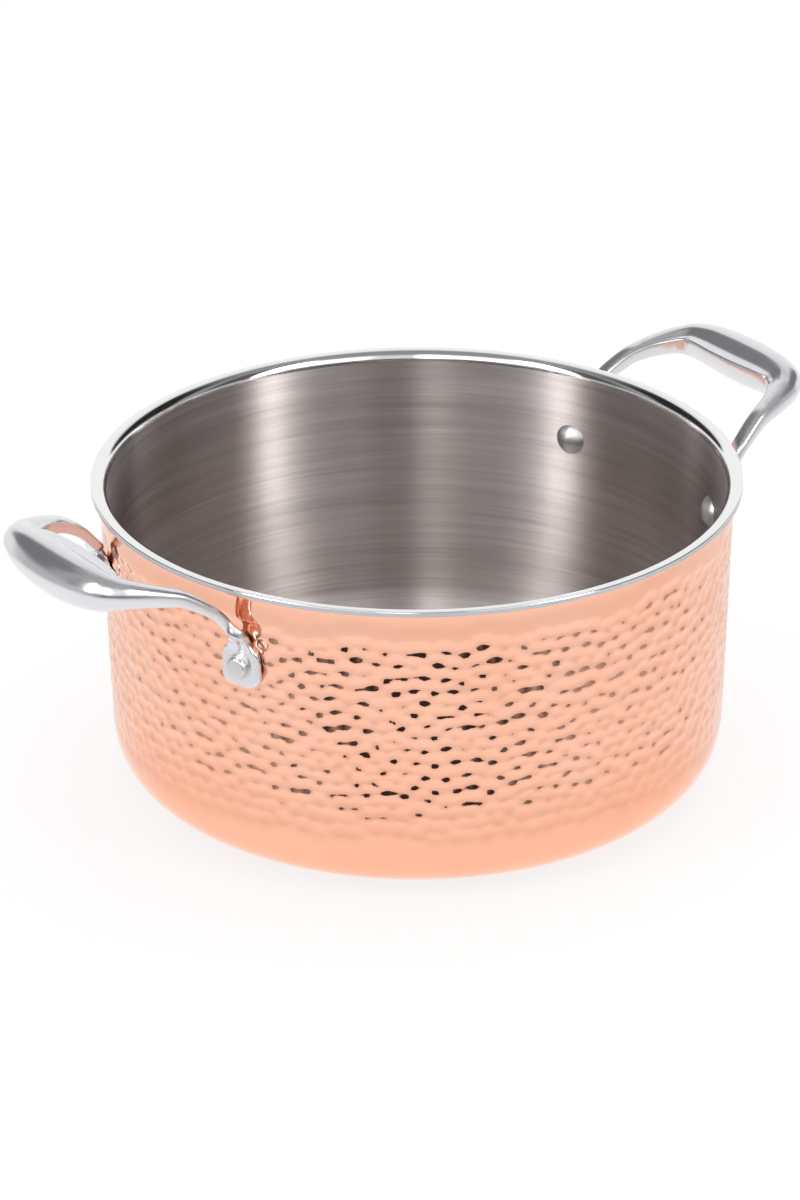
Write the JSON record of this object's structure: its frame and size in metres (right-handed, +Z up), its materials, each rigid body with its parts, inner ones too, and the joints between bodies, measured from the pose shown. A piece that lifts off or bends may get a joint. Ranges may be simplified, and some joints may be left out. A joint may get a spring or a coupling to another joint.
{
  "type": "braising pan",
  "caption": "Round deep pan with a hammered copper outside, a brushed steel inside with a flared pouring lip, and riveted cast loop handles on opposite sides.",
  "frame": {"origin": "centre of the flat base, on the surface that the pan stands on", "axes": "+Z up along the axis of the pan; X through the middles of the two handles, +X towards handle_right; Y across"},
  "size_m": [0.3492, 0.252, 0.1375],
  "materials": {
    "liner_steel": "stainless steel brushed round the pan inside, polished on the lip",
    "core_aluminium": "bonded between the other two plies, seen only as a line at the lip's edge",
    "copper": null,
    "handle_steel": "polished cast stainless steel",
    "rivet_steel": "satin stainless steel"
  },
  "bodies": {
    "root": {"steel_liner": "liner_steel", "aluminium_core": "core_aluminium", "copper_shell": "copper", "handle_right": "handle_steel", "handle_left": "handle_steel", "rivet_right_rear": "rivet_steel", "rivet_right_front": "rivet_steel", "rivet_left_front": "rivet_steel", "rivet_left_rear": "rivet_steel"}
  },
  "joints": []
}
